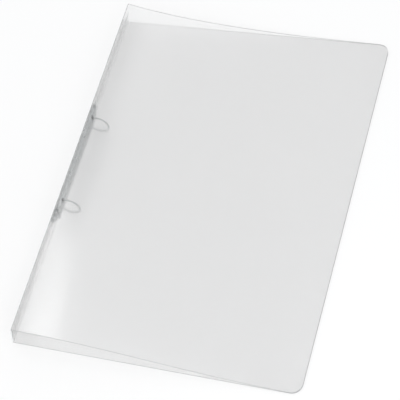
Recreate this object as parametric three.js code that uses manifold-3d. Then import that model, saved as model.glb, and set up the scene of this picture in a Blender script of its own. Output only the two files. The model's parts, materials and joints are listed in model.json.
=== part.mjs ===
// An A4 ring binder in frosted polypropylene, closed and lying on its back cover.
// One sheet, creased twice, makes the back cover, the spine and the front cover. A two-ring
// mechanism of nickel-plated steel is riveted to the inside of the spine.
// Millimetres. +X runs from the spine to the fore-edge, +Y along the spine to the head, +Z up.

import * as THREE from 'three';
import * as BufferGeometryUtils from 'three/addons/utils/BufferGeometryUtils.js';
import Module from 'manifold-3d';

const wasm = await Module();
wasm.setup();

// The creased sheet
const binderHeight = 316;
const backWidth = 241;
const spineWidth = 30.5;
const sheet = 0.8;
const cornerRadius = 8.5;
const spineLean = THREE.MathUtils.degToRad(18);
const coverGap = 0.3;
const creaseSetback = 0.45;
const creaseTaper = 1.6;
const creaseWeb = 0.35;

// The front cover falls from the spine to the fore-edge in a soft S. It drops sooner at the
// head than at the tail, so the two ends have an exponent each.
const headSag = 0.45;
const tailSag = 0.97;
const coverColumns = 30;
const coverRows = 14;
const columnCrowding = 1.4;
const cornerSteps = 6;
const slopeStep = 0.1;

// The mechanism on the spine
const ringSpacing = 80;
const mechanismShift = 2;
const mechanismRise = 2.3;
const housingLength = 115;
const housingWidth = 20;
const housingCrown = 3.8;
const housingSide = 3;
const housingSteel = 0.8;
const housingSeat = 0.3;
const shoulder = 0.64;
const lipReach = 2.1;
const lipRadius = 0.9;
const endRounding = 1.2;
const endDrop = 1.1;
const endNarrowing = 1.4;
const endSteps = 4;
const tongueLength = 8.1;
const tongueWidth = 9;
const tongueSteps = 8;
const archSteps = 14;
const lipSteps = 3;

// The two carriers, the same part twice, turned end for end
const carrierThickness = 0.8;
const carrierEndGap = 0.3;
const carrierClosedTilt = THREE.MathUtils.degToRad(6.5);
const carrierSideGap = 0.3;
const carrierCentreGap = 0.3;
const carrierLift = 0.3;
const beadSteps = 8;

// The half rings
const wireDiameter = 2;
const ringAcross = 21.1;
const ringDeep = 17.5;
const ringCentre = 9;
const ringSteps = 22;
const wireSides = 12;
const tipGap = 0.3;
const pipRadius = 0.5;
const pipPoint = 0.3;
const pipLength = 0.7;
const pipClearance = 0.2;
const tenonDiameter = 1.2;
const fitGap = 0.3;
const slotClearance = 0.5;
const footAccuracy = 1e-9;

// The two rivets, near the housing's ends
const rivetInset = 4.5;
const rivetShank = 3.8;
const rivetGap = 0.3;
const rivetHead = 7.6;
const rivetDome = 1.2;
const rivetRim = 6;
const rivetRoll = 0.8;
const rivetEdge = 0.2;
const rivetBore = 2.2;
const rivetBoreDepth = 2.4;
const domeSteps = 4;
const rollSteps = 6;

// Sides of a round hole or pin, how far a cut runs past what it cuts, and how close two
// corners lie when they are one
const roundSides = 20;
const cutPast = 1;
const mergeDistance = 1e-4;

const rivetSpacing = housingLength - 2 * rivetInset;
const shellHalf = housingLength / 2 - tongueLength;
const carrierLength = 2 * (shellHalf - housingSteel - endRounding - carrierEndGap);

const frosted = new THREE.MeshStandardMaterial({
  name: 'frosted_sheet', color: 0xe4e6e7, roughness: 0.45, metalness: 0, transparent: true, opacity: 0.6,
});
const nickel = new THREE.MeshStandardMaterial({
  name: 'nickel_plate', color: 0xb4b8b9, roughness: 0.25, metalness: 1,
});

// Solids

function toSolid(geometry) {
  const bare = geometry.clone();
  bare.deleteAttribute('normal');
  bare.deleteAttribute('uv');
  const merged = BufferGeometryUtils.mergeVertices(bare, mergeDistance);
  return new wasm.Manifold(new wasm.Mesh({
    numProp: 3,
    vertProperties: new Float32Array(merged.attributes.position.array),
    triVerts: new Uint32Array(merged.index.array),
  }));
}

function toGeometry(solid) {
  const mesh = solid.getMesh();
  const geometry = new THREE.BufferGeometry();
  geometry.setAttribute('position', new THREE.BufferAttribute(new Float32Array(mesh.vertProperties), 3));
  geometry.setIndex(new THREE.BufferAttribute(new Uint32Array(mesh.triVerts), 1));
  geometry.computeVertexNormals();
  return geometry;
}

// Even shares of a whole, from 0 to 1.
function shares(steps) {
  return Array.from({ length: steps + 1 }, (_, step) => step / steps);
}

function boxBetween(low, high) {
  const size = high.map((value, axis) => value - low[axis]);
  const geometry = new THREE.BoxGeometry(...size);
  return geometry.translate(...low.map((value, axis) => value + size[axis] / 2));
}

// A round cutter along +X, which goes through a plate of the given thickness on either side
// of its middle.
function roundCutter(diameter, thickness, along, up) {
  const length = 2 * (thickness + cutPast);
  const cutter = new THREE.CylinderGeometry(diameter / 2, diameter / 2, length, roundSides);
  return toSolid(cutter.rotateZ(Math.PI / 2).translate(0, along, up));
}

// A closed skin over rings of points, each the same length, that stand one behind the other
// from the head to the tail. Its two ends are flat.
function loftRings(sections) {
  const seen = (section) => section.map((point) => new THREE.Vector2(point.x, point.z));
  const clockwise = THREE.ShapeUtils.isClockWise(seen(sections[0]));
  const rings = clockwise ? sections.map((section) => [...section].reverse()) : sections;
  const count = rings[0].length;
  const positions = rings.flat().flatMap((point) => point.toArray());
  const index = [];
  for (let ring = 0; ring + 1 < rings.length; ring += 1) {
    for (let step = 0; step < count; step += 1) {
      const next = (step + 1) % count;
      const here = ring * count;
      const there = here + count;
      index.push(here + step, here + next, there + next);
      index.push(here + step, there + next, there + step);
    }
  }
  const last = (rings.length - 1) * count;
  for (const [a, b, c] of THREE.ShapeUtils.triangulateShape(seen(rings[0]), [])) {
    index.push(c, b, a);
    index.push(last + a, last + b, last + c);
  }
  const geometry = new THREE.BufferGeometry();
  geometry.setAttribute('position', new THREE.Float32BufferAttribute(positions, 3));
  geometry.setIndex(index);
  return geometry;
}

// The creased sheet. Its panels are parted only at the two creases, where each panel is
// pressed down to a thin web and ends just short of the line that it folds on.

const foldHeight = sheet / 2;
const frontFold = new THREE.Vector3(
  spineWidth * Math.sin(spineLean), 0, foldHeight + spineWidth * Math.cos(spineLean),
);
const restHeight = sheet + coverGap + sheet / 2;

function sheetThickness(distance) {
  const pressed = THREE.MathUtils.clamp((distance - creaseSetback) / creaseTaper, 0, 1);
  return THREE.MathUtils.lerp(creaseWeb, sheet, pressed);
}

function frontHeight(across, along) {
  const reach = THREE.MathUtils.clamp((across - frontFold.x) / (backWidth - frontFold.x), 0, 1);
  const sag = THREE.MathUtils.lerp(tailSag, headSag, along / binderHeight + 0.5);
  const fall = (1 + Math.cos(Math.PI * reach ** sag)) / 2;
  return restHeight + (frontFold.z - restHeight) * fall;
}

// Distances across a cover at which it gets a row of points: the crease, the sheet, and the
// rounded corners at the fore-edge. The points lie closer together towards the crease.
function coverStations(foldLine, columns) {
  const start = foldLine + creaseSetback;
  const full = start + creaseTaper;
  const straightEnd = backWidth - cornerRadius;
  const straight = shares(columns).map((part) => full + (straightEnd - full) * part ** columnCrowding);
  const corner = shares(cornerSteps).slice(1).map((part) => (
    straightEnd + cornerRadius * Math.sin(Math.PI / 2 * part)
  ));
  return [start, ...straight, ...corner];
}

function halfHeightAt(across) {
  const past = Math.max(across - (backWidth - cornerRadius), 0);
  const rounded = Math.sqrt(Math.max(cornerRadius ** 2 - past ** 2, 0));
  return binderHeight / 2 - cornerRadius + rounded;
}

function coverGeometry(foldLine, columns, rows, height) {
  const surface = (across, along) => new THREE.Vector3(across, along, height(across, along));
  const rings = coverStations(foldLine, columns).map((across) => {
    const half = halfHeightAt(across);
    const lift = sheetThickness(across - foldLine) / 2;
    const above = [];
    const below = [];
    for (const part of shares(rows)) {
      const along = THREE.MathUtils.lerp(-half, half, part);
      const point = surface(across, along);
      const slopeX = surface(across + slopeStep, along).sub(surface(across - slopeStep, along));
      const slopeY = surface(across, along + slopeStep).sub(surface(across, along - slopeStep));
      const normal = slopeX.cross(slopeY).normalize();
      above.push(point.clone().addScaledVector(normal, lift));
      below.push(point.clone().addScaledVector(normal, -lift));
    }
    return [...above, ...below.reverse()];
  });
  return skinAcross(rings);
}

// The rings of a cover stand across it, one behind the other from the crease to the
// fore-edge. Each is a thin loop, so its ends are closed by strips and not by a fan.
function skinAcross(rings) {
  const count = rings[0].length;
  const positions = rings.flat().flatMap((point) => point.toArray());
  const index = [];
  for (let ring = 0; ring + 1 < rings.length; ring += 1) {
    for (let step = 0; step < count; step += 1) {
      const next = (step + 1) % count;
      const here = ring * count;
      const there = here + count;
      index.push(here + step, there + next, here + next);
      index.push(here + step, there + step, there + next);
    }
  }
  const last = (rings.length - 1) * count;
  for (let step = 0; step + 1 < count / 2; step += 1) {
    const opposite = count - 1 - step;
    index.push(step, step + 1, opposite - 1, step, opposite - 1, opposite);
    index.push(last + step, last + opposite - 1, last + step + 1);
    index.push(last + step, last + opposite, last + opposite - 1);
  }
  const geometry = new THREE.BufferGeometry();
  geometry.setAttribute('position', new THREE.Float32BufferAttribute(positions, 3));
  geometry.setIndex(index);
  return geometry;
}

function rivetPlaces() {
  return [mechanismShift - rivetSpacing / 2, mechanismShift + rivetSpacing / 2];
}

// The spine in its own frame: +X out of its inner face, +Z from the back crease to the front.
function spineGeometry() {
  const foot = creaseSetback;
  const thick = [[foot, creaseWeb], [foot + creaseTaper, sheet],
    [spineWidth - foot - creaseTaper, sheet], [spineWidth - foot, creaseWeb]];
  const outline = [
    ...thick.map(([up, width]) => new THREE.Vector2(width / 2, up)),
    ...thick.reverse().map(([up, width]) => new THREE.Vector2(-width / 2, up)),
  ];
  const ringAt = (along) => outline.map((point) => new THREE.Vector3(point.x, along, point.y));
  let panel = toSolid(loftRings([ringAt(binderHeight / 2), ringAt(-binderHeight / 2)]));
  for (const along of rivetPlaces()) {
    const up = spineWidth / 2 + mechanismRise;
    panel = panel.subtract(roundCutter(rivetShank + 2 * rivetGap, sheet, along, up));
  }
  return toGeometry(panel);
}

// The mechanism in its own frame: +X out of the spine's inner face, +Y to the head,
// +Z towards the front cover, with its origin on the spine's face at its middle.

const housingHalf = housingWidth / 2;
const pivotAcross = housingHalf - housingSteel - carrierSideGap - carrierThickness / 2;
const pivotHeight = housingSeat + housingSteel + carrierLift + carrierThickness / 2;

function arch(half, side, crown) {
  const rise = crown - side;
  const radius = (half ** 2 + rise ** 2) / (2 * rise);
  const spread = Math.asin(half / radius);
  return shares(archSteps).map((part) => {
    const turn = THREE.MathUtils.lerp(-spread, spread, part);
    return new THREE.Vector2(radius * Math.sin(turn), crown - radius + radius * Math.cos(turn));
  });
}

// Sections of the housing as (across, out from the spine). Outside it is a low arch with
// rolled edges.
function outerSection(half, side, crown) {
  const rolled = shares(lipSteps).map((part) => new THREE.Vector2(
    half - lipRadius + lipRadius * Math.sin(Math.PI / 2 * part),
    housingSeat + lipRadius - lipRadius * Math.cos(Math.PI / 2 * part),
  ));
  const mirror = (point) => new THREE.Vector2(-point.x, point.y);
  return [...rolled, ...arch(half, side, crown).reverse(), ...rolled.map(mirror).reverse()];
}

// Inside, its edges are turned under into lips, which hold the outer edges of the carriers.
function innerSection(half, side, crown) {
  const lipEnd = half - lipReach;
  const innerHalf = half - housingSteel;
  const lipTop = housingSeat + housingSteel;
  return [
    new THREE.Vector2(lipEnd, -cutPast),
    new THREE.Vector2(lipEnd, lipTop),
    new THREE.Vector2(innerHalf, lipTop),
    ...arch(innerHalf, side - shoulder, crown - housingSteel).reverse(),
    new THREE.Vector2(-innerHalf, lipTop),
    new THREE.Vector2(-lipEnd, lipTop),
    new THREE.Vector2(-lipEnd, -cutPast),
  ];
}

// The arch from end to end, or its hollow, which ends a wall short of it. Each end is
// rounded down and in.
function archSolid(section, wall) {
  const ends = shares(endSteps).map((part) => {
    const distance = part ** 2;
    const risen = Math.sqrt(1 - (1 - distance) ** 2);
    return {
      along: shellHalf - wall - endRounding * distance,
      half: housingHalf - endNarrowing * (1 - risen),
      drop: endDrop * (1 - risen),
    };
  });
  const rows = [...ends, ...ends.map((end) => ({ ...end, along: -end.along })).reverse()];
  return toSolid(loftRings(rows.map(({ along, half, drop }) => (
    section(half, housingSide - drop, housingCrown - drop)
      .map((point) => new THREE.Vector3(point.y, along, point.x))
  ))));
}

// The flat tongue past an end of the arch, which takes a rivet.
function tongueSolid(end) {
  const half = tongueWidth / 2;
  const tip = housingLength / 2 - half;
  const outline = new THREE.Shape();
  outline.moveTo(half, shellHalf - housingSteel / 2);
  outline.lineTo(half, tip);
  outline.absarc(0, tip, half, 0, Math.PI);
  outline.lineTo(-half, shellHalf - housingSteel / 2);
  outline.closePath();
  const plate = new THREE.ExtrudeGeometry(outline, {
    depth: housingSteel, curveSegments: tongueSteps, bevelEnabled: false,
  });
  plate.rotateY(Math.PI / 2).translate(housingSeat, 0, 0);
  return toSolid(end < 0 ? plate.rotateX(Math.PI) : plate);
}

function slotGeometry(along, side) {
  const half = wireDiameter / 2 + slotClearance;
  const inner = footAcross() - wireDiameter - slotClearance;
  const low = [housingSeat + housingSteel + carrierThickness, along - half, inner];
  const high = [housingCrown + cutPast, along + half, housingHalf + cutPast];
  const box = boxBetween(low, high);
  return side < 0 ? box.rotateX(Math.PI).translate(0, 2 * along, 0) : box;
}

function housingGeometry() {
  let housing = archSolid(outerSection, 0).subtract(archSolid(innerSection, housingSteel));
  for (const end of [-1, 1]) {
    housing = housing.add(tongueSolid(end));
  }
  for (const along of [-ringSpacing / 2, ringSpacing / 2]) {
    for (const side of [-1, 1]) {
      housing = housing.subtract(toSolid(slotGeometry(along, side)));
    }
  }
  for (const along of [-rivetSpacing / 2, rivetSpacing / 2]) {
    housing = housing.subtract(roundCutter(rivetShank + 2 * rivetGap, housingCrown, along, 0));
  }
  return toGeometry(housing);
}

// A carrier and its half rings are drawn about the carrier's pivot, for the side towards the
// front cover, with the carrier flat. The other carrier is the same, turned over about +X.

const carrierReach = pivotAcross - carrierCentreGap / 2;
const wireRadius = wireDiameter / 2;

function ringPoint(turn) {
  const out = ringCentre + ringDeep / 2 * Math.sin(turn);
  return new THREE.Vector3(out, 0, ringAcross / 2 * Math.cos(turn));
}

// The turn on the ring's oval at which the wire meets the top of the closed carrier.
function footTurn() {
  let low = -Math.PI / 2;
  let high = 0;
  while (high - low > footAccuracy) {
    const middle = (low + high) / 2;
    const point = ringPoint(middle);
    const sunk = (pivotAcross - point.z) * Math.tan(carrierClosedTilt);
    if (point.x > pivotHeight + carrierThickness / 2 - sunk) {
      high = middle;
    } else {
      low = middle;
    }
  }
  return high;
}

function footAcross() {
  return ringPoint(footTurn()).z;
}

function carrierGeometry() {
  const half = carrierThickness / 2;
  const bead = shares(beadSteps).map((part) => (
    new THREE.Vector2(half * Math.cos(Math.PI * part), half * Math.sin(Math.PI * part))
  ));
  const outline = [...bead, new THREE.Vector2(-half, -carrierReach), new THREE.Vector2(half, -carrierReach)];
  const ringAt = (along) => outline.map((point) => new THREE.Vector3(point.x, along, point.y));
  let carrier = toSolid(loftRings([ringAt(carrierLength / 2), ringAt(-carrierLength / 2)]));
  const tenonHole = tenonDiameter + 2 * fitGap;
  for (const along of [-ringSpacing / 2, ringSpacing / 2]) {
    carrier = carrier.subtract(roundCutter(tenonHole, carrierThickness, along, footPlace().z));
  }
  return toGeometry(carrier);
}

// A point of the closed mechanism, seen from the pivot with the carrier turned flat.
function fromPivot(point) {
  const moved = point.clone().sub(new THREE.Vector3(pivotHeight, 0, pivotAcross));
  return moved.applyAxisAngle(new THREE.Vector3(0, 1, 0), -carrierClosedTilt);
}

function footPlace() {
  return fromPivot(ringPoint(footTurn()));
}

class HalfRingPath extends THREE.Curve {
  getPoint(part, target = new THREE.Vector3()) {
    const tip = Math.acos(tipGap / ringAcross);
    const past = 2 * wireDiameter / ringDeep;
    const turn = THREE.MathUtils.lerp(tip, footTurn() - past, part);
    return target.copy(fromPivot(ringPoint(turn)));
  }
}

function halfRingGeometry(male) {
  const section = new THREE.Shape().absarc(0, 0, wireRadius, 0, 2 * Math.PI);
  const tube = new THREE.ExtrudeGeometry(section, {
    curveSegments: wireSides / 2, steps: ringSteps, bevelEnabled: false, extrudePath: new HalfRingPath(),
  });
  let ring = toSolid(tube);
  const foot = carrierThickness / 2 + fitGap;
  const far = ringAcross + cutPast;
  ring = ring.subtract(toSolid(boxBetween([-far, -far, -far], [foot, far, far])));
  const tenonEnds = [-carrierThickness / 2, foot + wireRadius];
  const tenon = new THREE.CylinderGeometry(
    tenonDiameter / 2, tenonDiameter / 2, tenonEnds[1] - tenonEnds[0], roundSides,
  );
  tenon.rotateZ(Math.PI / 2).translate((tenonEnds[0] + tenonEnds[1]) / 2, 0, footPlace().z);
  ring = ring.add(toSolid(tenon));
  const tip = new HalfRingPath().getPoint(0);
  const grow = male ? 0 : pipClearance;
  const pip = new THREE.CylinderGeometry(
    pipRadius + grow, pipPoint + grow, 2 * pipLength + grow, wireSides,
  );
  pip.rotateX(male ? Math.PI / 2 : -Math.PI / 2);
  pip.rotateY(-carrierClosedTilt);
  pip.translate(tip.x, tip.y, tip.z);
  ring = male ? ring.add(toSolid(pip)) : ring.subtract(toSolid(pip));
  return toGeometry(ring);
}

// A tubular rivet along +X, with its dome outside the spine and its rolled end on a tongue.
function rivetGeometry() {
  const under = -sheet - rivetGap;
  const over = housingSeat + housingSteel + rivetGap;
  const dome = shares(domeSteps).map((part) => new THREE.Vector2(
    rivetHead / 2 * Math.sin(Math.PI / 2 * part),
    under - rivetEdge - rivetDome * Math.cos(Math.PI / 2 * part),
  ));
  const rollCentre = (rivetRim + rivetBore) / 4;
  const rollHalf = (rivetRim - rivetBore) / 4;
  const roll = shares(rollSteps).map((part) => new THREE.Vector2(
    rollCentre + rollHalf * Math.cos(Math.PI * part),
    over + rivetEdge + rivetRoll * Math.sin(Math.PI * part),
  ));
  const profile = [
    ...dome,
    new THREE.Vector2(rivetHead / 2, under),
    new THREE.Vector2(rivetShank / 2, under),
    new THREE.Vector2(rivetShank / 2, over),
    new THREE.Vector2(rivetRim / 2, over),
    ...roll,
    new THREE.Vector2(rivetBore / 2, over - rivetBoreDepth),
    new THREE.Vector2(0, over - rivetBoreDepth),
  ];
  return toGeometry(toSolid(new THREE.LatheGeometry(profile, roundSides).rotateZ(-Math.PI / 2)));
}

// Assembly

function piece(name, geometry, material) {
  const mesh = new THREE.Mesh(geometry, material);
  mesh.name = name;
  return mesh;
}

function carrierGroup(side, label) {
  const group = new THREE.Group();
  const hinge = new THREE.Group();
  hinge.position.set(pivotHeight, 0, pivotAcross);
  hinge.rotation.y = carrierClosedTilt;
  hinge.add(piece(`${label}_carrier`, carrierGeometry(), nickel));
  for (const end of [-1, 1]) {
    const name = `${label}_half_ring_${end * side < 0 ? 'tail' : 'head'}`;
    const ring = piece(name, halfRingGeometry(end > 0), nickel);
    ring.position.y = end * ringSpacing / 2;
    hinge.add(ring);
  }
  group.add(hinge);
  group.rotation.x = side < 0 ? Math.PI : 0;
  return group;
}

const mechanism = new THREE.Group();
mechanism.position.set(sheet / 2, mechanismShift, spineWidth / 2 + mechanismRise);
mechanism.add(piece('mechanism_housing', housingGeometry(), nickel));
mechanism.add(carrierGroup(1, 'upper'));
mechanism.add(carrierGroup(-1, 'lower'));
for (const [name, end] of [['head_rivet', 1], ['tail_rivet', -1]]) {
  const rivet = piece(name, rivetGeometry(), nickel);
  rivet.position.y = end * rivetSpacing / 2;
  mechanism.add(rivet);
}

const spine = new THREE.Group();
spine.position.z = foldHeight;
spine.rotation.y = spineLean;
spine.add(piece('spine_panel', spineGeometry(), frosted));
spine.add(mechanism);

const binder = new THREE.Group();
const spineSide = creaseSetback * Math.sin(spineLean) - creaseWeb / 2 * Math.cos(spineLean);
binder.position.x = -(backWidth + spineSide) / 2;
binder.add(piece('back_cover', coverGeometry(0, 1, 1, () => foldHeight), frosted));
binder.add(spine);
binder.add(piece('front_cover', coverGeometry(frontFold.x, coverColumns, coverRows, frontHeight), frosted));

export default binder;
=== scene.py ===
"""A closed A4 ring binder of frosted sheet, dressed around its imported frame.

The sheet is modelled as it is made: one blank, creased twice. The mechanism of nickel-plated
steel sits on the inside of its spine. Metres, +X to the fore-edge, +Y to the head, +Z up.
"""

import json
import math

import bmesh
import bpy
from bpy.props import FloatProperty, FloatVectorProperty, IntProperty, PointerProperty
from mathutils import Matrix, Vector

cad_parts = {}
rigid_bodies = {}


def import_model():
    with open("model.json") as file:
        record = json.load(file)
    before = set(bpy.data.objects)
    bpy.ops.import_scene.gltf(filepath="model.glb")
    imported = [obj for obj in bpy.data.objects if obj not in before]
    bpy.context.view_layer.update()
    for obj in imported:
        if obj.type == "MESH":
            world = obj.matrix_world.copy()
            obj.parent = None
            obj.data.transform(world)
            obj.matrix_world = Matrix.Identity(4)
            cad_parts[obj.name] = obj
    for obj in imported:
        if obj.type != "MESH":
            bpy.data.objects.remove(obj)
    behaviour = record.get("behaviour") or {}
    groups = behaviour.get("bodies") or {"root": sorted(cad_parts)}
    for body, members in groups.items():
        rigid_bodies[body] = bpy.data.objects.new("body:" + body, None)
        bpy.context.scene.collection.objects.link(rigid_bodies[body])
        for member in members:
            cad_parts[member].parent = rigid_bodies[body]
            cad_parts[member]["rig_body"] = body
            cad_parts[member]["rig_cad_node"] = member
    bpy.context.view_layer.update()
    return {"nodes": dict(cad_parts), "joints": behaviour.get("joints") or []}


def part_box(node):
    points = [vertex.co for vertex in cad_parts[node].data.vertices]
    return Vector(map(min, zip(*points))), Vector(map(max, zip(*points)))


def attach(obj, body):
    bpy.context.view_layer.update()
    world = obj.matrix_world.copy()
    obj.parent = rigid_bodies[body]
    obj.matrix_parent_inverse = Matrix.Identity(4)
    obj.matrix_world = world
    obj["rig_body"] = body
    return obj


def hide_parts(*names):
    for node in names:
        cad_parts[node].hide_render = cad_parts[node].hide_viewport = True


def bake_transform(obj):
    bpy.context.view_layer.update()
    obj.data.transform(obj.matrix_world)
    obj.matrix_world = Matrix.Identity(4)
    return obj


bl_info = {
    "name": "Ring Binder",
    "version": (1, 0, 0),
    "blender": (4, 5, 0),
    "location": "View3D > Sidebar > Binder",
    "description": "Builds a closed A4 ring binder of frosted sheet around its frame",
    "category": "Object",
}

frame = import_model()

MM = 0.001
TINY = 0.01 * MM

# Places that the frame gives
HINGE_AT = {joint["name"]: Vector(joint["pos_m"]) for joint in frame["joints"]}
BACK_FOLD = HINGE_AT["back_crease"]
FRONT_FOLD = HINGE_AT["front_crease"]
SPINE_WIDTH = (FRONT_FOLD - BACK_FOLD).length
UP_SPINE = (FRONT_FOLD - BACK_FOLD).normalized()
TO_HEAD = Vector((0, 1, 0))
OUT_OF_SPINE = TO_HEAD.cross(UP_SPINE)

BACK_LOW, BACK_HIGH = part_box("back_cover")
SHEET = BACK_HIGH.z - BACK_LOW.z
FORE_EDGE = BACK_HIGH.x
HALF_HEIGHT = BACK_HIGH.y
FRONT_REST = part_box("front_cover")[0].z + SHEET / 2

# The mechanism's own frame stands on the spine's inner face, at the mechanism's middle.
PIVOT_MIDDLE = (HINGE_AT["upper_ring_hinge"] + HINGE_AT["lower_ring_hinge"]) / 2
PIVOT_SPAN = HINGE_AT["upper_ring_hinge"] - HINGE_AT["lower_ring_hinge"]
PIVOT_ACROSS = PIVOT_SPAN.dot(UP_SPINE) / 2
PIVOT_OUT = (PIVOT_MIDDLE - BACK_FOLD).dot(OUT_OF_SPINE) - SHEET / 2
MECHANISM = Matrix.Translation(PIVOT_MIDDLE - OUT_OF_SPINE * PIVOT_OUT) @ Matrix(
    (OUT_OF_SPINE, TO_HEAD, UP_SPINE)
).transposed().to_4x4()

PANEL_BODIES = {"back_cover": "back", "spine_panel": "spine", "front_cover": "front"}


class SheetSettings(bpy.types.PropertyGroup):
    """Sizes of the creased sheet."""

    corner_radius: FloatProperty(
        name="Corner radius", description="Rounding of the corners at the fore-edge",
        default=8.5 * MM, unit="LENGTH")
    corner_steps: IntProperty(
        name="Corner steps", description="Faces round one corner", default=10)
    crease_setback: FloatProperty(
        name="Crease setback", description="From a fold line to where the panel begins",
        default=0.45 * MM, unit="LENGTH")
    crease_taper: FloatProperty(
        name="Crease taper", description="Distance over which the sheet is pressed thin",
        default=1.6 * MM, unit="LENGTH")
    crease_web: FloatProperty(
        name="Crease web", description="Thickness of the pressed crease",
        default=0.35 * MM, unit="LENGTH")
    crease_steps: IntProperty(
        name="Crease steps", description="Faces round one crease", default=10)
    head_sag: FloatProperty(
        name="Sag at the head", description="Exponent of the cover's fall at the head",
        default=0.45)
    tail_sag: FloatProperty(
        name="Sag at the tail", description="Exponent of the cover's fall at the tail",
        default=0.97)
    columns: IntProperty(
        name="Columns", description="Faces across the front cover", default=64)
    rows: IntProperty(
        name="Rows", description="Faces along the sheet", default=40)
    crowding: FloatProperty(
        name="Crowding", description="How much closer the columns lie at the crease",
        default=1.4)
    edge_round: FloatProperty(
        name="Edge rounding", description="Rounding of the cut edge",
        default=0.12 * MM, unit="LENGTH")
    rivet_hole: FloatProperty(
        name="Rivet hole", description="Diameter of the two holes in the spine",
        default=4.4 * MM, unit="LENGTH")


class RingSettings(bpy.types.PropertyGroup):
    """Sizes of the half rings."""

    across: FloatProperty(
        name="Across", description="Width of the ring's oval along the spine's width",
        default=21.1 * MM, unit="LENGTH")
    deep: FloatProperty(
        name="Deep", description="Depth of the ring's oval away from the spine",
        default=17.5 * MM, unit="LENGTH")
    centre: FloatProperty(
        name="Centre", description="Distance of the oval's centre from the spine",
        default=9 * MM, unit="LENGTH")
    tip_gap: FloatProperty(
        name="Tip gap", description="Gap between the two tips of a closed ring",
        default=0.3 * MM, unit="LENGTH")
    pip_radius: FloatProperty(
        name="Pip radius", description="Radius of the pip that keys the tips together",
        default=0.5 * MM, unit="LENGTH")
    pip_length: FloatProperty(
        name="Pip length", description="How far the pip stands out of its tip",
        default=0.7 * MM, unit="LENGTH")
    pip_clearance: FloatProperty(
        name="Pip clearance", description="Room round the pip in its socket",
        default=0.2 * MM, unit="LENGTH")
    carrier_thickness: FloatProperty(
        name="Carrier thickness", description="Thickness of a carrier",
        default=0.8 * MM, unit="LENGTH")
    carrier_tilt: FloatProperty(
        name="Carrier tilt", description="Slope of a closed carrier towards the spine",
        default=math.radians(6.5), subtype="ANGLE")
    foot_gap: FloatProperty(
        name="Foot gap", description="Gap between the wire's shoulder and the carrier",
        default=0.3 * MM, unit="LENGTH")
    tenon_radius: FloatProperty(
        name="Tenon radius", description="Radius of the wire's tenon in the carrier",
        default=0.6 * MM, unit="LENGTH")
    wire_sides: IntProperty(
        name="Wire resolution", description="Steps over a quarter of the wire", default=6)


class RivetSettings(bpy.types.PropertyGroup):
    """Sizes of the tubular rivets."""

    head_radius: FloatProperty(
        name="Head radius", description="Radius of the head outside the spine",
        default=3.8 * MM, unit="LENGTH")
    dome: FloatProperty(
        name="Dome", description="Height of the head's dome",
        default=1.2 * MM, unit="LENGTH")
    edge: FloatProperty(
        name="Edge", description="Straight edge under the dome and the roll",
        default=0.2 * MM, unit="LENGTH")
    seat: FloatProperty(
        name="Seat", description="Gap between the rivet and what it holds",
        default=0.3 * MM, unit="LENGTH")
    tongue: FloatProperty(
        name="Tongue", description="Height of the housing's flat end above the spine",
        default=1.1 * MM, unit="LENGTH")
    shank_radius: FloatProperty(
        name="Shank radius", description="Radius of the shank",
        default=1.9 * MM, unit="LENGTH")
    rim_radius: FloatProperty(
        name="Rim radius", description="Outer radius of the rolled end",
        default=3 * MM, unit="LENGTH")
    bore_radius: FloatProperty(
        name="Bore radius", description="Radius of the open bore",
        default=1.1 * MM, unit="LENGTH")
    bore_depth: FloatProperty(
        name="Bore depth", description="Depth of the bore below the rolled end",
        default=2.4 * MM, unit="LENGTH")
    roll: FloatProperty(
        name="Roll", description="Height of the rolled end",
        default=0.8 * MM, unit="LENGTH")
    sides: IntProperty(name="Sides", description="Faces round the rivet", default=48)


class FinishSettings(bpy.types.PropertyGroup):
    """Colours and finishes."""

    sheet_colour: FloatVectorProperty(
        name="Sheet colour", description="Tint of the frosted sheet",
        default=(0.989, 0.99, 0.991), subtype="COLOR", min=0, max=1)
    # Painted shade: the sheet is darker beside its creases, and the crease reach is how far
    # that painted shade spreads from the front fold.
    crease_shade_colour: FloatVectorProperty(
        name="Crease colour", description="Tint of the sheet beside its creases",
        default=(0.936, 0.937, 0.938), subtype="COLOR", min=0, max=1)
    crease_shade_reach: FloatProperty(
        name="Crease reach", description="How far the creases' tint spreads",
        default=16 * MM, unit="LENGTH")
    sheet_clearness: FloatProperty(
        name="Sheet clearness", description="Share of the light that passes the sheet",
        default=0.96, subtype="FACTOR")
    sheet_roughness: FloatProperty(
        name="Sheet roughness", description="How far the grain scatters",
        default=0.17, subtype="FACTOR")
    crease_clearness: FloatProperty(
        name="Crease clearness", description="Share of the light that passes a pressed crease",
        default=0.6, subtype="FACTOR")
    # Painted shade: the covers' cut edges are painted dark grey, which draws a dark line along
    # them.
    edge_shade_colour: FloatVectorProperty(
        name="Edge colour", description="Tint of the cut edge, which gathers shade",
        default=(0.3, 0.305, 0.31), subtype="COLOR", min=0, max=1)
    spine_edge_colour: FloatVectorProperty(
        name="Spine edge colour", description="Tint of the spine's cut ends",
        default=(0.88, 0.885, 0.89), subtype="COLOR", min=0, max=1)
    nickel_colour: FloatVectorProperty(
        name="Nickel colour", description="Colour of the plated steel",
        default=(0.5, 0.515, 0.52), subtype="COLOR", min=0, max=1)
    # Painted light: the carriers are painted much lighter than the housing's nickel, against
    # the shade inside the housing.
    carrier_lightened_colour: FloatVectorProperty(
        name="Carrier colour", description="Colour of the plated carriers in the housing",
        default=(0.95, 0.96, 0.96), subtype="COLOR", min=0, max=1)
    nickel_roughness: FloatProperty(
        name="Nickel roughness", description="How far the plating scatters",
        default=0.28, subtype="FACTOR")


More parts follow.
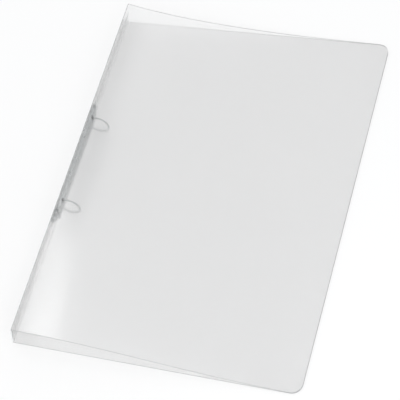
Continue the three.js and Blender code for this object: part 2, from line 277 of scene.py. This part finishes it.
class StageSettings(bpy.types.PropertyGroup):
    """Camera, lamps and floor."""

    azimuth: FloatProperty(
        name="Azimuth", description="Where the camera stands round the binder",
        default=math.radians(38.85), subtype="ANGLE")
    elevation: FloatProperty(
        name="Elevation", description="How far the camera looks down",
        default=math.radians(57.69), subtype="ANGLE")
    roll: FloatProperty(
        name="Roll", description="Turn of the camera about its line of sight",
        default=math.radians(-26.44), subtype="ANGLE")
    distance: FloatProperty(
        name="Distance", description="From the camera to what it looks at",
        default=1107.5 * MM, unit="LENGTH")
    target: FloatVectorProperty(
        name="Target", description="The point that the camera looks at",
        default=(-2.74 * MM, -8.79 * MM, 0), subtype="TRANSLATION")
    lens: FloatProperty(
        name="Lens", description="Focal length in millimetres", default=121.5)
    floor_size: FloatProperty(
        name="Floor", description="Side of the floor", default=6, unit="LENGTH")
    floor_drop: FloatProperty(
        name="Floor drop", description="Air under the back cover",
        default=0.1 * MM, unit="LENGTH")
    floor_shade: FloatProperty(
        name="Floor shade", description="Share of the floor that takes shadow",
        default=0.3, subtype="FACTOR")
    wall_colour: FloatVectorProperty(
        name="Wall colour", description="Light of the studio at the horizon",
        default=(0.7, 0.74, 0.78), subtype="COLOR", min=0, max=1)
    ceiling_colour: FloatVectorProperty(
        name="Ceiling colour", description="Light of the studio overhead",
        default=(0.98, 0.98, 0.98), subtype="COLOR", min=0, max=1)


# Working by hand: what is selected, and what an operator acts on

def put_down_everything():
    if bpy.context.mode != "OBJECT":
        bpy.ops.object.mode_set(mode="OBJECT")
    bpy.ops.object.select_all(action="DESELECT")


def pick_up(piece):
    put_down_everything()
    piece.select_set(True)
    bpy.context.view_layer.objects.active = piece


def edit(piece, part="VERT"):
    pick_up(piece)
    bpy.ops.object.mode_set(mode="EDIT")
    bpy.ops.mesh.select_mode(type=part)
    bpy.ops.mesh.select_all(action="DESELECT")


def stop_editing():
    bpy.ops.object.mode_set(mode="OBJECT")


def new_piece(name):
    """The object that an add operator has just made."""
    piece = bpy.context.view_layer.objects.active
    piece.name = name
    piece.data.name = name
    return piece


def select(piece, vertices=None, edges=None, faces=None):
    """Selects, in edit mode, what answers to the one test that is given."""
    mesh = bmesh.from_edit_mesh(piece.data)
    for part in (*mesh.faces, *mesh.edges, *mesh.verts):
        part.select = False
    parts, test = next(
        (parts, test) for parts, test in
        ((mesh.verts, vertices), (mesh.edges, edges), (mesh.faces, faces)) if test)
    for part in parts:
        if test(part):
            part.select_set(True)
    mesh.select_flush_mode()
    bmesh.update_edit_mesh(piece.data)


def at(test):
    """An edge or face whose corners all answer to a test of their place."""
    return lambda part: all(test(vertex.co) for vertex in part.verts)


def centre_of(part):
    return sum((vertex.co for vertex in part.verts), Vector()) / len(part.verts)


def cut(place, normal, **options):
    """Cuts what is selected by a plane."""
    bpy.ops.mesh.bisect(plane_co=place, plane_no=normal, **options)


def add_modifier(piece, kind, **values):
    modifier = piece.modifiers.new(kind.title(), kind)
    for name, value in values.items():
        setattr(modifier, name, value)
    return modifier


def apply_modifier(piece, kind, **values):
    modifier = add_modifier(piece, kind, **values)
    pick_up(piece)
    bpy.ops.object.modifier_apply(modifier=modifier.name)


def settle(piece):
    """Puts the piece's place into its mesh."""
    pick_up(piece)
    bpy.ops.object.transform_apply(location=True, rotation=True, scale=True)


def smooth(piece, angle=40):
    pick_up(piece)
    bpy.ops.object.shade_smooth_by_angle(angle=math.radians(angle))


def even_shading(piece):
    """Lets wide faces stay flat next to narrow rounded edges."""
    apply_modifier(piece, "WEIGHTED_NORMAL", keep_sharp=True)


def weigh(piece, name, weight):
    """A vertex group whose weights follow a vertex's place."""
    group = piece.vertex_groups.new(name=name)
    for vertex in piece.data.vertices:
        group.add([vertex.index], min(max(weight(vertex.co), 0), 1), "REPLACE")
    return group.name


def clean(piece):
    """Merges doubles and turns the faces out."""
    edit(piece)
    bpy.ops.mesh.select_all(action="SELECT")
    bpy.ops.mesh.remove_doubles(threshold=TINY)
    bpy.ops.mesh.normals_make_consistent(inside=False)
    stop_editing()


def finish_with(piece, *materials):
    piece.data.materials.clear()
    for material in materials:
        piece.data.materials.append(material)


# Materials

def new_material(name):
    material = bpy.data.materials.new(name)
    material.use_nodes = True
    return material, material.node_tree.nodes, material.node_tree.links


def set_sockets(node, **values):
    for name, value in values.items():
        node.inputs[name.replace("_", " ")].default_value = value


def opaque(colour):
    return (*colour, 1)


def add_noise(nodes, links, scale, detail=2):
    place = nodes.new("ShaderNodeTexCoord")
    noise = nodes.new("ShaderNodeTexNoise")
    set_sockets(noise, Scale=scale, Detail=detail)
    links.new(place.outputs["Object"], noise.inputs["Vector"])
    return noise


def add_range(nodes, links, source, low, high):
    spread = nodes.new("ShaderNodeMapRange")
    set_sockets(spread, To_Min=low, To_Max=high)
    links.new(source, spread.inputs["Value"])
    return spread.outputs["Result"]


def add_bump(nodes, links, noise, distance, strength):
    bump = nodes.new("ShaderNodeBump")
    set_sockets(bump, Distance=distance, Strength=strength)
    links.new(noise.outputs["Fac"], bump.inputs["Height"])
    return bump.outputs["Normal"]


def frosted_finish(name, clearness):
    """Polypropylene with a fine matt grain. Light passes it, a little scattered. Its colour is
    darkened near the folds, on the creases and all over the spine: painted shade.
    """
    finish = bpy.context.scene.binder_finish
    material, nodes, links = new_material(name)
    shader = nodes["Principled BSDF"]
    set_sockets(shader, Transmission_Weight=clearness, IOR=1.49)
    place = nodes.new("ShaderNodeTexCoord")
    across = nodes.new("ShaderNodeSeparateXYZ")
    links.new(place.outputs["Object"], across.inputs["Vector"])
    # Painted shade: the colour darkens towards the front fold. The spine, both creases and the
    # back cover beside its fold take the full crease shade.
    away = nodes.new("ShaderNodeMapRange")
    set_sockets(away, From_Min=FRONT_FOLD.x, From_Max=FRONT_FOLD.x + finish.crease_shade_reach)
    links.new(across.outputs["X"], away.inputs["Value"])
    tint = nodes.new("ShaderNodeValToRGB")
    tint.color_ramp.elements[0].color = opaque(finish.crease_shade_colour)
    tint.color_ramp.elements[1].color = opaque(finish.sheet_colour)
    links.new(away.outputs["Result"], tint.inputs["Fac"])
    links.new(tint.outputs["Color"], shader.inputs["Base Color"])
    grain = add_noise(nodes, links, 2500)
    clouds = add_noise(nodes, links, 30)
    roughness = add_range(
        nodes, links, clouds.outputs["Fac"],
        finish.sheet_roughness - 0.03, finish.sheet_roughness + 0.03)
    links.new(roughness, shader.inputs["Roughness"])
    normal = add_bump(nodes, links, grain, 0.01 * MM, 0.05)
    links.new(normal, shader.inputs["Normal"])
    return material


def edge_finish(name, colour):
    """A cut edge of the sheet, sawn matt."""
    material, nodes, links = new_material(name)
    shader = nodes["Principled BSDF"]
    set_sockets(shader, Base_Color=opaque(colour), IOR=1.49)
    marks = add_noise(nodes, links, 1200)
    links.new(
        add_range(nodes, links, marks.outputs["Fac"], 0.35, 0.6),
        shader.inputs["Roughness"])
    return material


def nickel_finish(name, colour):
    """Bright nickel plate, a little wavy over the pressed steel."""
    finish = bpy.context.scene.binder_finish
    material, nodes, links = new_material(name)
    shader = nodes["Principled BSDF"]
    set_sockets(shader, Base_Color=opaque(colour), Metallic=1)
    clouds = add_noise(nodes, links, 220, detail=4)
    waves = add_noise(nodes, links, 90)
    roughness = add_range(
        nodes, links, clouds.outputs["Fac"],
        finish.nickel_roughness - 0.06, finish.nickel_roughness + 0.08)
    links.new(roughness, shader.inputs["Roughness"])
    links.new(add_bump(nodes, links, waves, 0.2 * MM, 0.06), shader.inputs["Normal"])
    return material


def material_named(name, maker, *values):
    return bpy.data.materials.get(name) or maker(name, *values)


def frosted():
    clearness = bpy.context.scene.binder_finish.sheet_clearness
    return material_named("frosted_polypropylene", frosted_finish, clearness)


def pressed_crease():
    clearness = bpy.context.scene.binder_finish.crease_clearness
    return material_named("pressed_crease", frosted_finish, clearness)


def cut_edge():
    # Painted shade: the dark grey of the covers' cut edges.
    colour = bpy.context.scene.binder_finish.edge_shade_colour
    return material_named("cut_edge_of_sheet", edge_finish, colour)


def spine_edge():
    colour = bpy.context.scene.binder_finish.spine_edge_colour
    return material_named("cut_edge_of_spine", edge_finish, colour)


def nickel():
    colour = bpy.context.scene.binder_finish.nickel_colour
    return material_named("nickel_plated_steel", nickel_finish, colour)


def carrier_nickel():
    # Painted light: plating lighter than the housing's, against the shade inside it.
    colour = bpy.context.scene.binder_finish.carrier_lightened_colour
    return material_named("nickel_plated_carriers", nickel_finish, colour)


# The creased sheet

def fold_distance(place):
    """How far a place on the sheet is from the nearer fold line, seen along the fold."""
    flat = Vector((place.x, 0, place.z))
    return min((flat - BACK_FOLD).length, (flat - FRONT_FOLD).length)


def along_spine(place):
    return (place - BACK_FOLD).dot(UP_SPINE)


class SheetMaker:
    """Folds one blank into the binder's sheet and parts it at its two creases."""

    def __init__(self):
        self.sizes = bpy.context.scene.binder_sheet

    def half_turn_radius(self, angle):
        """Radius of an arc that touches both panels at the setback from the fold."""
        return self.sizes.crease_setback / math.tan(angle / 2)

    def region(self, place):
        setback = self.sizes.crease_setback
        up = along_spine(place)
        if up < setback and place.x < BACK_FOLD.x + setback:
            return "back_crease_web"
        if place.x > BACK_FOLD.x + setback and place.z < (BACK_FOLD.z + FRONT_REST) / 2:
            return "back_cover"
        if up > SPINE_WIDTH - setback and place.x < FRONT_FOLD.x + setback:
            return "front_crease_web"
        if up > 0 and (place - BACK_FOLD).dot(OUT_OF_SPINE) < SHEET:
            return "spine_panel"
        return "front_cover"

    def make_blank(self):
        setback = self.sizes.crease_setback
        start = BACK_FOLD.x + setback
        put_down_everything()
        bpy.ops.mesh.primitive_plane_add(
            size=1, location=((start + FORE_EDGE) / 2, 0, BACK_FOLD.z))
        blank = new_piece("binder_sheet")
        blank.scale = (FORE_EDGE - start, 2 * HALF_HEIGHT, 1)
        settle(blank)
        edit(blank)
        self.round_corners(blank)
        lean = UP_SPINE.angle(Vector((0, 0, 1)))
        self.turn_crease(blank, Vector((start, 0, BACK_FOLD.z)), Vector((0, 0, 1)),
                         math.pi / 2 + lean)
        foot = BACK_FOLD + UP_SPINE * setback
        self.extend(blank, foot, UP_SPINE * (SPINE_WIDTH - 2 * setback))
        top = FRONT_FOLD - UP_SPINE * setback
        self.turn_crease(blank, top, OUT_OF_SPINE, math.pi / 2 - lean)
        edge = FRONT_FOLD + Vector((setback, 0, 0))
        self.extend(blank, edge, Vector((FORE_EDGE - edge.x, 0, 0)))
        self.round_corners(blank)
        stop_editing()
        return blank

    def select_line(self, blank, place):
        """The edge of the sheet that runs through a place, from tail to head."""
        def on_line(point):
            return Vector((point.x - place.x, 0, point.z - place.z)).length < TINY
        select(blank, edges=at(on_line))

    def turn_crease(self, blank, start, inward, angle):
        """Spins the sheet's end round a crease of the given angle."""
        self.select_line(blank, start)
        centre = start + inward * self.half_turn_radius(angle)
        bpy.ops.mesh.spin(
            steps=self.sizes.crease_steps, angle=angle, center=centre, axis=-TO_HEAD)

    def extend(self, blank, start, travel):
        self.select_line(blank, start)
        bpy.ops.mesh.extrude_region_move(TRANSFORM_OT_translate={"value": travel})

    def round_corners(self, blank):
        """Rounds the square corners at the fore-edge."""
        select(blank, vertices=lambda vertex: (
            vertex.co.x > FORE_EDGE - TINY
            and abs(vertex.co.y) > HALF_HEIGHT - TINY))
        bpy.ops.mesh.bevel(
            offset=self.sizes.corner_radius, segments=self.sizes.corner_steps,
            affect="VERTICES")

    def divide(self, blank):
        """Cuts the sheet into rows, and its front cover into columns."""
        sizes = self.sizes
        edit(blank, "FACE")
        for row in range(1, sizes.rows):
            select(blank, faces=lambda face: True)
            cut((0, HALF_HEIGHT * (2 * row / sizes.rows - 1), 0), TO_HEAD)
        pressed = sizes.crease_setback + sizes.crease_taper
        straight_end = FORE_EDGE - sizes.corner_radius
        full = FRONT_FOLD.x + pressed
        stations = [
            full + (straight_end - full) * (column / sizes.columns) ** sizes.crowding
            for column in range(sizes.columns + 1)]
        stations.append(FORE_EDGE - sizes.corner_radius / 3)
        for station in stations:
            self.cut_region(blank, "front_cover", (station, 0, 0), (1, 0, 0))
        for station in (BACK_FOLD.x + pressed, straight_end):
            self.cut_region(blank, "back_cover", (station, 0, 0), (1, 0, 0))
        for distance in (pressed, SPINE_WIDTH - pressed):
            self.cut_region(
                blank, "spine_panel", BACK_FOLD + UP_SPINE * distance, UP_SPINE)
        stop_editing()

    def cut_region(self, blank, region, place, normal):
        select(blank, faces=lambda face: self.region(centre_of(face)) == region)
        cut(place, normal)

    def drop(self, place):
        """Share of its fall that the front cover has made at a place."""
        if along_spine(place) < SPINE_WIDTH / 2 or place.z < FRONT_REST:
            return 0
        sizes = self.sizes
        reach = (place.x - FRONT_FOLD.x) / (FORE_EDGE - FRONT_FOLD.x)
        reach = min(max(reach, 0), 1)
        head = place.y / (2 * HALF_HEIGHT) + 0.5
        sag = sizes.tail_sag + (sizes.head_sag - sizes.tail_sag) * head
        return (1 - math.cos(math.pi * reach ** sag)) / 2

    def lower_front(self, blank):
        """Lets the front cover fall in a soft S from the spine to the fore-edge."""
        apply_modifier(
            blank, "DISPLACE", direction="Z", mid_level=0,
            strength=FRONT_REST - FRONT_FOLD.z,
            vertex_group=weigh(blank, "fall", self.drop))

    def thickness(self, place):
        """Share of the sheet's thickness that a place has."""
        sizes = self.sizes
        distance = fold_distance(place)
        pressed = min(max((distance - sizes.crease_setback) / sizes.crease_taper, 0), 1)
        web = sizes.crease_web / SHEET
        return web + (1 - web) * pressed

    def part(self, blank):
        """Parts the sheet into its three panels and two creases."""
        regions = {}
        for name in ("back_crease_web", "front_crease_web", "back_cover", "spine_panel"):
            edit(blank, "FACE")
            select(blank, faces=lambda face: self.region(centre_of(face)) == name)
            before = set(bpy.data.objects)
            bpy.ops.mesh.separate(type="SELECTED")
            stop_editing()
            regions[name] = (set(bpy.data.objects) - before).pop()
        regions["front_cover"] = blank
        return regions

    def thicken(self, piece):
        apply_modifier(
            piece, "SOLIDIFY", thickness=SHEET, offset=0, use_even_offset=True,
            use_quality_normals=True, material_offset_rim=1,
            vertex_group=weigh(piece, "thickness", self.thickness))

    def frost_crease_ends(self, piece):
        """The panel goes on as the crease there, so its end is no cut edge."""
        near = self.sizes.crease_setback + self.sizes.crease_taper / 2
        for face in piece.data.polygons:
            if fold_distance(face.center) < near:
                face.material_index = 0

    def round_edges(self, piece):
        """Takes the sharpness off the cut edges, but not off the ends at a crease."""
        away = self.sizes.crease_setback + self.sizes.crease_taper / 2
        sharp = math.radians(60)

        def cut_edge_line(edge):
            apart = edge.is_manifold and edge.calc_face_angle() > sharp
            return apart and fold_distance(centre_of(edge)) > away

        edit(piece, "EDGE")
        select(piece, edges=cut_edge_line)
        bpy.ops.mesh.bevel(offset=self.sizes.edge_round, segments=2)
        stop_editing()

    def drill(self, piece):
        """Makes the two rivet holes in the spine."""
        for node in ("head_rivet", "tail_rivet"):
            low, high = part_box(node)
            rivet = MECHANISM @ Vector((0, 0, 0))
            rivet.y = (low.y + high.y) / 2
            put_down_everything()
            bpy.ops.mesh.primitive_cylinder_add(
                vertices=48, radius=self.sizes.rivet_hole / 2, depth=8 * SHEET,
                location=rivet, rotation=OUT_OF_SPINE.to_track_quat("Z", "Y").to_euler())
            drill = new_piece("drill")
            finish_with(drill, frosted(), cut_edge())
            for face in drill.data.polygons:
                face.material_index = 1
            apply_modifier(piece, "BOOLEAN", object=drill, solver="EXACT")
            bpy.data.objects.remove(drill)

    def make(self):
        blank = self.make_blank()
        self.divide(blank)
        self.lower_front(blank)
        finish_with(blank, frosted(), cut_edge())
        regions = self.part(blank)
        for name, piece in regions.items():
            piece.name = name if name.endswith("web") else f"{name}_sheet"
            clean(piece)
            self.thicken(piece)
            self.frost_crease_ends(piece)
            if name in PANEL_BODIES:
                self.round_edges(piece)
            else:
                finish_with(piece, pressed_crease())
            if name == "spine_panel":
                self.drill(piece)
                piece.data.materials[1] = spine_edge()
            piece.vertex_groups.clear()
            smooth(piece)
            even_shading(piece)
        for node, body in PANEL_BODIES.items():
            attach(regions[node], body)
            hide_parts(node)
        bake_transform(regions["back_crease_web"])
        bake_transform(regions["front_crease_web"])


# The steel pressings

def merged_copy(node, name):
    """A copy of a node's mesh with its loose triangles joined into whole faces."""
    pick_up(frame["nodes"][node])
    bpy.ops.object.duplicate()
    piece = new_piece(name)
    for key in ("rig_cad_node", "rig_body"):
        if key in piece:
            del piece[key]
    piece.parent = None
    clean(piece)
    edit(piece)
    bpy.ops.mesh.select_all(action="SELECT")
    bpy.ops.mesh.dissolve_limited(angle_limit=math.radians(1))
    stop_editing()
    return piece


def press(node, name, body, edge_round, material):
    """A pressing as it comes from the tool: rounded along its sheared edges."""
    piece = merged_copy(node, name)
    apply_modifier(
        piece, "BEVEL", width=edge_round, segments=2, limit_method="ANGLE",
        angle_limit=math.radians(40), harden_normals=False)
    smooth(piece, 35)
    even_shading(piece)
    finish_with(piece, material)
    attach(piece, body)
    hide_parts(node)


# The half rings

class RingMaker:
    """Bends wire into an oval ring and parts it into two half rings on their carriers."""

    def __init__(self):
        self.sizes = bpy.context.scene.binder_rings
        low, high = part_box("upper_half_ring_head")
        self.wire = (high.y - low.y) / 2

    def make_oval(self, place):
        sizes = self.sizes
        put_down_everything()
        bpy.ops.curve.primitive_bezier_circle_add(radius=1)
        ring = bpy.context.view_layer.objects.active
        ring.matrix_world = MECHANISM @ Matrix.Translation(
            (sizes.centre, place - MECHANISM.translation.y, 0)
        ) @ Matrix.Rotation(math.pi / 2, 4, "X") @ Matrix.Diagonal(
            (sizes.deep / 2, sizes.across / 2, 1, 1))
        settle(ring)
        ring.data.bevel_depth = self.wire
        ring.data.bevel_resolution = self.wire_resolution()
        ring.data.resolution_u = 20
        pick_up(ring)
        bpy.ops.object.convert(target="MESH")
        return bpy.context.view_layer.objects.active

    def wire_resolution(self):
        return self.sizes.wire_sides

    def carrier_plane(self, side):
        """A point on the middle of a closed carrier, and the way out of it."""
        tilt = self.sizes.carrier_tilt
        place = MECHANISM @ Vector((PIVOT_OUT, 0, side * PIVOT_ACROSS))
        normal = MECHANISM.to_3x3() @ Vector(
            (math.cos(tilt), 0, -side * math.sin(tilt)))
        return place, normal

    def trim(self, ring, side):
        """Keeps one half of the oval, from its tip to its shoulder on the carrier."""
        sizes = self.sizes
        tip = MECHANISM @ Vector((0, 0, side * sizes.tip_gap / 2))
        foot, out = self.carrier_plane(side)
        shoulder = foot + out * (sizes.carrier_thickness / 2 + sizes.foot_gap)
        edit(ring)
        for place, normal in ((tip, UP_SPINE * side), (shoulder, out)):
            bpy.ops.mesh.select_all(action="SELECT")
            cut(place, normal, use_fill=True, clear_inner=True)
        stop_editing()

    def end_face(self, normal):
        return lambda face: len(face.verts) > 4 and face.normal.dot(normal) > 0.99

    def step_end(self, ring, normal, radius, length, taper):
        """Turns an end of the wire down to a pin, or bores it where length is below 0."""
        edit(ring, "FACE")
        select(ring, faces=self.end_face(normal))
        bpy.ops.mesh.inset(thickness=self.wire - radius)
        bpy.ops.mesh.extrude_region_move(
            TRANSFORM_OT_translate={"value": normal * length})
        bpy.ops.transform.resize(value=(taper,) * 3)
        stop_editing()

    def make_half(self, oval, side, end, male):
        name = f"{'upper' if side > 0 else 'lower'}_half_ring_{end}"
        pick_up(oval)
        bpy.ops.object.duplicate()
        ring = new_piece(f"{name}_wire")
        self.trim(ring, side)
        clean(ring)
        sizes = self.sizes
        towards = UP_SPINE * -side
        if male:
            self.step_end(ring, towards, sizes.pip_radius, sizes.pip_length, 0.6)
        else:
            self.step_end(
                ring, towards, sizes.pip_radius + sizes.pip_clearance,
                -sizes.pip_length - sizes.pip_clearance, 0.6)
        out = self.carrier_plane(side)[1]
        self.step_end(
            ring, -out, sizes.tenon_radius,
            sizes.foot_gap + sizes.carrier_thickness, 1)
        apply_modifier(
            ring, "BEVEL", width=0.08 * MM, segments=2, limit_method="ANGLE",
            angle_limit=math.radians(40))
        smooth(ring)
        finish_with(ring, nickel())
        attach(ring, "upper_rings" if side > 0 else "lower_rings")
        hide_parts(name)

    def make(self):
        for end in ("head", "tail"):
            low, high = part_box(f"upper_half_ring_{end}")
            oval = self.make_oval((low.y + high.y) / 2)
            for side in (1, -1):
                self.make_half(oval, side, end, male=(end == "head") == (side > 0))
            bpy.data.objects.remove(oval)


# The rivets

class RivetMaker:
    """Turns a tubular rivet: a dome outside the spine, a rolled end on the housing."""

    def __init__(self):
        self.sizes = bpy.context.scene.binder_rivets

    def profile(self):
        """Radius and height of each step, from the dome to the bottom of the bore."""
        sizes = self.sizes
        under = -SHEET - sizes.seat
        over = sizes.tongue + sizes.seat
        dome_steps = 8
        quarter = math.pi / 2
        dome = [
            (sizes.head_radius * math.sin(quarter * step / dome_steps),
             under - sizes.edge - sizes.dome * math.cos(quarter * step / dome_steps))
            for step in range(1, dome_steps + 1)]
        roll_steps = 10
        middle = (sizes.rim_radius + sizes.bore_radius) / 2
        half = (sizes.rim_radius - sizes.bore_radius) / 2
        roll = [
            (middle + half * math.cos(math.pi * step / roll_steps),
             over + sizes.edge + sizes.roll * math.sin(math.pi * step / roll_steps))
            for step in range(roll_steps + 1)]
        return [
            *dome, (sizes.head_radius, under), (sizes.shank_radius, under),
            (sizes.shank_radius, over), (sizes.rim_radius, over), *roll,
            (sizes.bore_radius, over - sizes.bore_depth)]

    def make(self, node, body):
        low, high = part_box(node)
        steps = self.profile()
        radius, height = steps[0]
        put_down_everything()
        bpy.ops.mesh.primitive_circle_add(
            vertices=self.sizes.sides, radius=radius, fill_type="NGON",
            location=(0, 0, height))
        rivet = new_piece(f"{node}_turned")
        settle(rivet)
        edit(rivet, "FACE")
        bpy.ops.mesh.select_all(action="SELECT")
        bpy.ops.mesh.flip_normals()
        bpy.ops.mesh.duplicate_move()
        bpy.ops.mesh.flip_normals()
        for wider, higher in steps[1:]:
            bpy.ops.mesh.extrude_region_move(
                TRANSFORM_OT_translate={"value": (0, 0, higher - height)})
            bpy.ops.transform.resize(
                value=(wider / radius, wider / radius, 1), center_override=(0, 0, higher))
            radius, height = wider, higher
        stop_editing()
        clean(rivet)
        turn = Matrix.Rotation(math.pi / 2, 4, "Y")
        middle = (low.y + high.y) / 2 - MECHANISM.translation.y
        rivet.matrix_world = MECHANISM @ Matrix.Translation((0, middle, 0)) @ turn
        settle(rivet)
        apply_modifier(
            rivet, "BEVEL", width=0.06 * MM, segments=2, limit_method="ANGLE",
            angle_limit=math.radians(50))
        smooth(rivet)
        finish_with(rivet, nickel())
        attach(rivet, body)
        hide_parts(node)


# The stage

def floor_finish():
    """A white floor that shows as white and still takes some shadow."""
    stage = bpy.context.scene.binder_stage
    material, nodes, links = new_material("white_floor")
    nodes.remove(nodes["Principled BSDF"])
    matt = nodes.new("ShaderNodeBsdfDiffuse")
    set_sockets(matt, Color=(0.94, 0.94, 0.94, 1))
    white = nodes.new("ShaderNodeEmission")
    mixed = nodes.new("ShaderNodeMixShader")
    set_sockets(mixed, Fac=stage.floor_shade)
    links.new(white.outputs["Emission"], mixed.inputs[1])
    links.new(matt.outputs["BSDF"], mixed.inputs[2])
    chosen = nodes.new("ShaderNodeMixShader")
    links.new(seen_ray(nodes, links), chosen.inputs["Fac"])
    links.new(matt.outputs["BSDF"], chosen.inputs[1])
    links.new(mixed.outputs["Shader"], chosen.inputs[2])
    links.new(chosen.outputs["Shader"], nodes["Material Output"].inputs["Surface"])
    return material


def seen_ray(nodes, links):
    """1 for a ray from the camera, a mirror or a clear body, and otherwise 0."""
    path = nodes.new("ShaderNodeLightPath")
    total = path.outputs["Is Camera Ray"]
    for name in ("Is Glossy Ray", "Is Transmission Ray"):
        adder = nodes.new("ShaderNodeMath")
        adder.operation = "MAXIMUM"
        links.new(total, adder.inputs[0])
        links.new(path.outputs[name], adder.inputs[1])
        total = adder.outputs["Value"]
    return total


def light_sky():
    """An even white studio, a little dimmer and cooler towards its walls."""
    stage = bpy.context.scene.binder_stage
    world = bpy.data.worlds.new("studio_sky")
    world.use_nodes = True
    nodes, links = world.node_tree.nodes, world.node_tree.links
    even = nodes["Background"]
    direction = nodes.new("ShaderNodeTexCoord")
    height = nodes.new("ShaderNodeSeparateXYZ")
    walls = nodes.new("ShaderNodeValToRGB")
    walls.color_ramp.elements[0].color = opaque(stage.wall_colour)
    walls.color_ramp.elements[1].color = opaque(stage.ceiling_colour)
    links.new(direction.outputs["Generated"], height.inputs["Vector"])
    links.new(height.outputs["Z"], walls.inputs["Fac"])
    links.new(walls.outputs["Color"], even.inputs["Color"])
    white = nodes.new("ShaderNodeBackground")
    set_sockets(white, Color=(1, 1, 1, 1), Strength=1)
    chosen = nodes.new("ShaderNodeMixShader")
    links.new(seen_ray(nodes, links), chosen.inputs["Fac"])
    links.new(even.outputs["Background"], chosen.inputs[1])
    links.new(white.outputs["Background"], chosen.inputs[2])
    links.new(chosen.outputs["Shader"], nodes["World Output"].inputs["Surface"])
    bpy.context.scene.world = world


def add_softbox(name, place, aim, width, length, power):
    """A rectangular lamp at a place, turned to a point."""
    away = Vector(place) - Vector(aim)
    put_down_everything()
    bpy.ops.object.light_add(
        type="AREA", location=place, rotation=away.to_track_quat("Z", "Y").to_euler())
    lamp = bpy.context.view_layer.objects.active
    lamp.name = name
    lamp.data.shape = "RECTANGLE"
    lamp.data.size = width
    lamp.data.size_y = length
    lamp.data.energy = power
    return lamp


def add_camera():
    stage = bpy.context.scene.binder_stage
    level = math.cos(stage.elevation)
    back = Vector((
        math.sin(stage.azimuth) * level, -math.cos(stage.azimuth) * level,
        math.sin(stage.elevation)))
    right = Vector((math.cos(stage.azimuth), math.sin(stage.azimuth), 0))
    up = back.cross(right)
    turned = Matrix((right, up, back)).transposed() @ Matrix.Rotation(stage.roll, 3, "Z")
    put_down_everything()
    bpy.ops.object.camera_add(
        location=Vector(stage.target) + back * stage.distance,
        rotation=turned.to_euler())
    camera = bpy.context.view_layer.objects.active
    camera.name = "product_camera"
    camera.data.lens = stage.lens
    camera.data.sensor_width = 36
    bpy.context.scene.camera = camera


# Operators

class BINDER_OT_sheet(bpy.types.Operator):
    """Folds the frosted sheet: back cover, spine, front cover and their two creases"""

    bl_idname = "binder.sheet"
    bl_label = "Creased Sheet"

    def execute(self, context):
        SheetMaker().make()
        return {"FINISHED"}


class BINDER_OT_pressings(bpy.types.Operator):
    """Presses the mechanism's housing and its two carriers"""

    bl_idname = "binder.pressings"
    bl_label = "Housing and Carriers"

    def execute(self, context):
        press("mechanism_housing", "mechanism_housing_pressed", "spine", 0.15 * MM, nickel())
        for side in ("upper", "lower"):
            press(f"{side}_carrier", f"{side}_carrier_pressed", f"{side}_rings", 0.1 * MM,
                  carrier_nickel())
        return {"FINISHED"}


class BINDER_OT_rings(bpy.types.Operator):
    """Bends the four half rings"""

    bl_idname = "binder.rings"
    bl_label = "Half Rings"

    def execute(self, context):
        RingMaker().make()
        return {"FINISHED"}


class BINDER_OT_rivets(bpy.types.Operator):
    """Turns the two rivets that hold the mechanism on the spine"""

    bl_idname = "binder.rivets"
    bl_label = "Rivets"

    def execute(self, context):
        for node in ("head_rivet", "tail_rivet"):
            RivetMaker().make(node, "spine")
        return {"FINISHED"}


class BINDER_OT_stage(bpy.types.Operator):
    """Sets up the floor, the sky, the lamps and the camera"""

    bl_idname = "binder.stage"
    bl_label = "Stage"

    def execute(self, context):
        stage = context.scene.binder_stage
        put_down_everything()
        bpy.ops.mesh.primitive_plane_add(
            size=stage.floor_size, location=(0, 0, -stage.floor_drop))
        floor = new_piece("floor")
        settle(floor)
        finish_with(floor, floor_finish())
        light_sky()
        gloss = add_softbox(
            "spine_softbox", (-0.94, 0.74, 2.4), (-0.09, 0.74, 0.03), 0.5, 0.5, 4.3)
        gloss.visible_transmission = False
        add_softbox("corner_softbox", (0.32, -0.42, 0.5), (0.12, -0.15, 0), 0.3, 0.3, 0.8)
        add_camera()
        context.scene.view_settings.view_transform = "Standard"
        return {"FINISHED"}


class BINDER_PT_panel(bpy.types.Panel):
    """Lists the binder's pieces and their sizes"""

    bl_idname = "BINDER_PT_panel"
    bl_label = "Ring Binder"
    bl_space_type = "VIEW_3D"
    bl_region_type = "UI"
    bl_category = "Binder"

    def draw(self, context):
        for operator, group in STEPS:
            box = self.layout.box()
            box.operator(operator.bl_idname)
            settings = getattr(context.scene, group)
            for name in type(settings).__annotations__:
                box.prop(settings, name)


SETTINGS = {
    "binder_sheet": SheetSettings,
    "binder_rings": RingSettings,
    "binder_rivets": RivetSettings,
    "binder_finish": FinishSettings,
    "binder_stage": StageSettings,
}
STEPS = (
    (BINDER_OT_sheet, "binder_sheet"),
    (BINDER_OT_pressings, "binder_finish"),
    (BINDER_OT_rings, "binder_rings"),
    (BINDER_OT_rivets, "binder_rivets"),
    (BINDER_OT_stage, "binder_stage"),
)
CLASSES = (*SETTINGS.values(), *(step[0] for step in STEPS), BINDER_PT_panel)


def register():
    for each in CLASSES:
        bpy.utils.register_class(each)
    for name, group in SETTINGS.items():
        setattr(bpy.types.Scene, name, PointerProperty(type=group))


def unregister():
    for name in SETTINGS:
        delattr(bpy.types.Scene, name)
    for each in reversed(CLASSES):
        bpy.utils.unregister_class(each)


def main():
    register()
    bpy.ops.binder.sheet()
    bpy.ops.binder.pressings()
    bpy.ops.binder.rings()
    bpy.ops.binder.rivets()
    bpy.ops.binder.stage()


if __name__ == "__main__":
    main()
